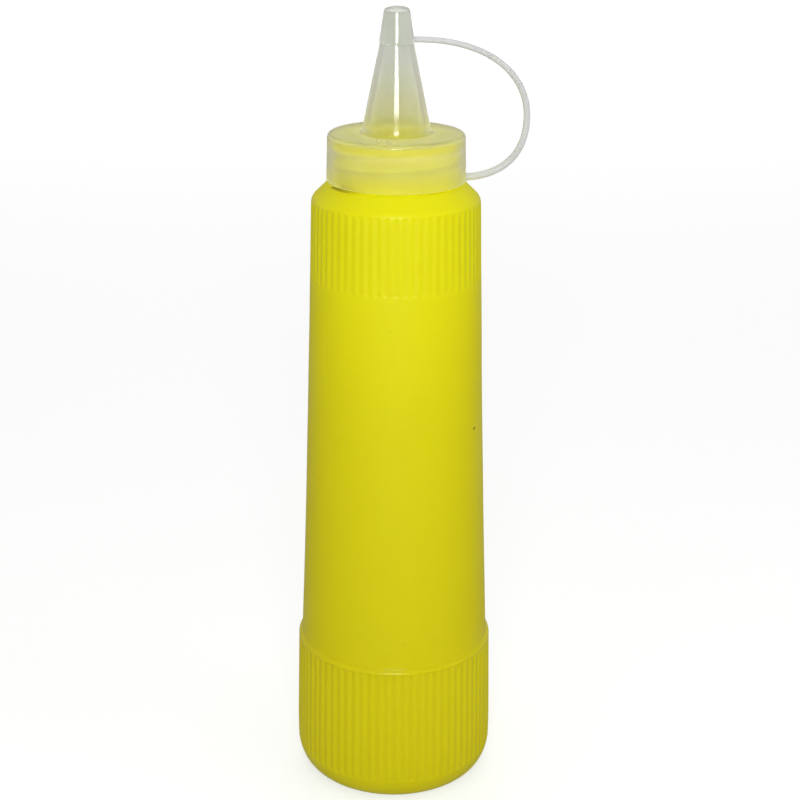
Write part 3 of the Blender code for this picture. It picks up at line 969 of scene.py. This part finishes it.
def cone_colour(tree, clouds, place):
    """Painted glow: the yellow of the neck glows up into the cone's foot as colour, and painted shade
    greys the cover's crown.
    """
    height = place["Z"]
    colour = add_colour_mix(tree, clouds, *CONE_COLOURS)
    # Painted glow of the yellow neck, rising into the cone and strongest at its foot
    near_foot = add_range(tree, height, (CONE_TOP, CAP_TOP), smooth=False)
    glow = add_math(tree, "MULTIPLY", add_math(tree, "POWER", near_foot, CONE_GLOW_FALL), CONE_GLOW)
    colour = add_colour_mix(tree, glow, colour, CONE_GLOW_COLOUR)
    colour = add_colour_mix(tree, add_range(tree, height, CONE_FOOT_GLOW_CHANGE), colour, CONE_FOOT_GLOW_COLOUR)
    # Painted shade greys the cover's crown, which the light otherwise shows too bright
    return add_colour_mix(tree, add_range(tree, height, CROWN_SHADE_CHANGE), colour, CROWN_SHADE_COLOUR)


def drop_colour(tree, clouds, place):
    return add_colour_mix(tree, clouds, *DROP_COLOURS)


def strap_colour(tree, clouds, place):
    return add_colour_mix(tree, clouds, *STRAP_COLOURS)


def skirt_gloss(tree, height):
    """The plate's rounded edge and the start of the cone's fillet shine; the plate is dull."""
    edge = band_mask(tree, height, EDGE_GLOSS_BAND, EDGE_GLOSS_FADE)
    on_edge = add_math(tree, "MULTIPLY", edge, PLATE_EDGE_GLOSS)
    elsewhere = add_range(tree, height, ABOVE_PLATE, (PLATE_GLOSS, FILLET_START_GLOSS))
    return add_math(tree, "ADD", on_edge, elsewhere)


def cone_gloss(tree, height):
    """The shine dies out toward the cone's foot and comes back on the fillet."""
    fillet = band_mask(tree, height, FILLET_GLOSS_BAND, MILKY_FADE)
    on_fillet = add_math(tree, "MULTIPLY", fillet, FILLET_GLOSS)
    on_side = add_range(tree, height, CONE_GLOSS_CHANGE, CONE_SIDE_GLOSS)
    on_side = add_math(tree, "MULTIPLY", on_side, add_range(tree, height, CONE_GLOSS_END))
    return add_math(tree, "ADD", on_fillet, on_side)


def cover_gloss(tree, height):
    """The side shines; the foot and the crown are dull."""
    return add_math(tree, "MULTIPLY", band_mask(tree, height, COVER_GLOSS_BAND, MILKY_FADE), COVER_GLOSS)


def milky_plastic(name, skin, scuff, colour_of, gloss_of, coat_roughness, clearness=0.0, haze=0.0):
    """Natural polyethylene: cloudy, and in the cap clear enough to show the yellow neck behind it.

    gloss_of is a function of the height, or one number for the whole surface.
    """
    material = bpy.data.materials.new(name)
    material.use_nodes = True
    tree = material.node_tree
    shader = tree.nodes["Principled BSDF"]
    grain = place_group(tree, skin, Grain_Scale=1300.0, Cloud_Scale=120.0, Line_Scale=300.0)
    clouds = grain.outputs["Clouds"]
    rubbed = place_group(tree, scuff, Scale=160.0)
    place = split_place(tree)
    feed(tree, shader.inputs["Base Color"], colour_of(tree, clouds, place))
    gloss = gloss_of(tree, place["Z"]) if callable(gloss_of) else gloss_of
    feed(tree, shader.inputs["Coat Weight"], gloss)

    rough = add_range(tree, place["Z"], ROUGH_CHANGE, MILKY_ROUGHNESS)
    uneven = add_range(tree, clouds, (0.0, 1.0), MILKY_UNEVENNESS, smooth=False)
    rough = add_math(tree, "ADD", rough, uneven)
    rough = add_math(tree, "ADD", rough, add_math(tree, "MULTIPLY", rubbed.outputs["Scuff"], MILKY_SCUFF))
    feed(tree, shader.inputs["Roughness"], rough)
    add_bump(tree, shader, 0.006 * MM, grain.outputs["Grain"])

    shader.inputs["IOR"].default_value = 1.05
    shader.inputs["Transmission Weight"].default_value = clearness
    shader.inputs["Coat Roughness"].default_value = coat_roughness
    shader.inputs["Sheen Weight"].default_value = haze
    shader.inputs["Sheen Roughness"].default_value = 0.55
    shader.inputs["Sheen Tint"].default_value = HAZE_TINT
    if clearness == 0.0:
        shader.inputs["Subsurface Weight"].default_value = 1.0
        shader.inputs["Subsurface Radius"].default_value = (1.0, 1.0, 0.9)
        shader.inputs["Subsurface Scale"].default_value = 4.0 * MM
    else:
        shadow = tree.nodes.new("ShaderNodeLightPath").outputs["Is Shadow Ray"]
        lets_by = add_shader(tree, "ShaderNodeBsdfTransparent", Color=SHADOW_PASSES)
        shown = add_shader_mix(tree, shadow, shader.outputs["BSDF"], lets_by)
        feed(tree, tree.nodes["Material Output"].inputs["Surface"], shown)
    return material


def straight_through(tree, path):
    """1 for a ray that has come through clear plastic and met nothing dull before."""
    fresh = add_math(tree, "SUBTRACT", 1.0, add_math(tree, "MINIMUM", path["Diffuse Depth"], 1.0))
    return add_math(tree, "MULTIPLY", path["Is Transmission Ray"], fresh)


def floor_glow(tree):
    """How bright the floor is to the eye: a little more far away, and more to the sides and back."""
    away = add_vector_math(tree, "LENGTH", object_place(tree))
    aside = add_vector_math(tree, "SUBTRACT", object_place(tree), FLOOR_ASIDE_PLACE)
    aside = add_vector_math(tree, "LENGTH", add_vector_math(tree, "MULTIPLY", aside, FLOOR_ASIDE_SHAPE))
    return add_math(tree, "ADD", add_range(tree, away, *FLOOR_FAR), add_range(tree, aside, *FLOOR_ASIDE))


def make_stage():
    """A pale floor, near white to the eye, that sends less light back than it shows."""
    deselect_all()
    bpy.ops.mesh.primitive_plane_add(size=FLOOR_SIDE, location=(0.0, 0.0, 0.0))
    floor = bpy.context.object
    floor.name = "floor"
    material = bpy.data.materials.new("pale floor")
    material.use_nodes = True
    tree = material.node_tree
    tree.nodes.clear()
    path = tree.nodes.new("ShaderNodeLightPath").outputs

    to_eye = add_shader(tree, "ShaderNodeBsdfDiffuse", Color=FLOOR_COLOUR)
    to_pieces = add_shader(tree, "ShaderNodeBsdfDiffuse", Color=FLOOR_BOUNCE_COLOUR)
    sent = add_shader_mix(tree, path["Is Diffuse Ray"], to_eye, to_pieces)
    dark = add_shader(tree, "ShaderNodeEmission", Strength=0.0)
    through = add_shader(tree, "ShaderNodeEmission", Strength=FLOOR_THROUGH_LEVEL)
    glow = add_shader(tree, "ShaderNodeEmission", Color=FLOOR_GLOW_COLOUR, Strength=floor_glow(tree))
    added = add_shader_mix(tree, straight_through(tree, path), dark, through)
    added = add_shader_mix(tree, path["Is Camera Ray"], added, glow)
    both = tree.nodes.new("ShaderNodeAddShader")
    feed(tree, both.inputs[0], sent)
    feed(tree, both.inputs[1], added)
    mirrored = add_math(tree, "SUBTRACT", path["Is Glossy Ray"], path["Is Transmission Ray"])
    in_gloss = add_shader(tree, "ShaderNodeEmission", Color=FLOOR_MIRRORED_COLOUR)
    shown = add_shader_mix(tree, mirrored, both.outputs["Shader"], in_gloss)
    output = tree.nodes.new("ShaderNodeOutputMaterial")
    feed(tree, output.inputs["Surface"], shown)
    floor.data.materials.append(material)


def make_world():
    """White to the eye, soft grey as light, dark in gloss and pale through the cap's plastic."""
    world = bpy.data.worlds.new("studio")
    bpy.context.scene.world = world
    world.use_nodes = True
    tree = world.node_tree
    tree.nodes.clear()
    path = tree.nodes.new("ShaderNodeLightPath").outputs
    levels = {
        name: add_shader(tree, "ShaderNodeBackground", Color=colour)
        for name, colour in WORLD_COLOURS.items()
    }
    shown = levels["light"]
    shown = add_shader_mix(tree, path["Is Glossy Ray"], shown, levels["gloss"])
    shown = add_shader_mix(tree, path["Is Transmission Ray"], shown, levels["light through plastic"])
    shown = add_shader_mix(tree, straight_through(tree, path), shown, levels["seen through plastic"])
    shown = add_shader_mix(tree, path["Is Camera Ray"], shown, levels["seen"])
    output = tree.nodes.new("ShaderNodeOutputWorld")
    feed(tree, output.inputs["Surface"], shown)


def add_area(name, place, aim, size, watts):
    light = bpy.data.lights.new(name, "AREA")
    light.shape = "RECTANGLE"
    light.size, light.size_y = size
    light.energy = watts
    lamp = bpy.data.objects.new(name, light)
    bpy.context.collection.objects.link(lamp)
    lamp.location = place
    lamp.rotation_euler = (Vector(aim) - Vector(place)).to_track_quat("-Z", "Y").to_euler()
    return lamp


def make_lights():
    """The front softbox alone shows in the gloss; the fill alone shows through the plastic."""
    for name, (place, aim, size, watts) in LIGHTS.items():
        lamp = add_area(name, place, aim, size, watts)
        lamp.visible_glossy = name == "front softbox"
        lamp.visible_transmission = name == "right fill"
        if name == "front softbox":
            lamp.data.color = FRONT_LIGHT_COLOUR


def make_camera():
    data = bpy.data.cameras.new("camera")
    data.sensor_width = SENSOR_WIDTH_MM
    data.lens = FOCAL_LENGTH_PX / IMAGE_SIDE_PX * SENSOR_WIDTH_MM
    data.clip_start = 0.01
    camera = bpy.data.objects.new("camera", data)
    bpy.context.collection.objects.link(camera)
    pitch, yaw = CAMERA_PITCH, CAMERA_YAW
    forward = Vector((math.sin(yaw) * math.cos(pitch), math.cos(yaw) * math.cos(pitch), -math.sin(pitch)))
    right = forward.cross(Vector((0.0, 0.0, 1.0))).normalized()
    up = right.cross(forward)
    turned = Matrix((right, up, -forward)).transposed() @ Matrix.Rotation(CAMERA_ROLL, 3, "Z")
    camera.matrix_world = Matrix.Translation(CAMERA_PLACE) @ turned.to_4x4()
    bpy.context.scene.camera = camera


def main():
    make_camera()
    make_world()
    make_lights()
    make_stage()
    skin, mark, scuff = moulded_skin(), small_mark(), scuffs()
    yellow = yellow_plastic(skin, mark, scuff)
    skirt = milky_plastic(
        "milky polyethylene", skin, scuff, skirt_colour, skirt_gloss,
        clearness=0.85, coat_roughness=0.08, haze=0.40,
    )
    cone = milky_plastic(
        "milky polyethylene cone", skin, scuff, cone_colour, cone_gloss,
        clearness=0.85, coat_roughness=0.04, haze=0.84,
    )
    satin = milky_plastic(
        "milky polyethylene satin", skin, scuff, cone_colour, cover_gloss,
        clearness=0.85, coat_roughness=0.14, haze=0.62,
    )
    drawn = milky_plastic(
        "milky polyethylene drawn thin", skin, scuff, strap_colour, STRAP_GLOSS,
        coat_roughness=0.15,
    )
    bead = milky_plastic(
        "milky polyethylene bead", skin, scuff, drop_colour, DROP_GLOSS,
        coat_roughness=0.06,
    )
    make_bottle(yellow)
    make_nozzle_cap(skirt, cone, bead)
    make_tip_cover(satin, drawn)
    bpy.context.scene.view_settings.view_transform = "Standard"


main()
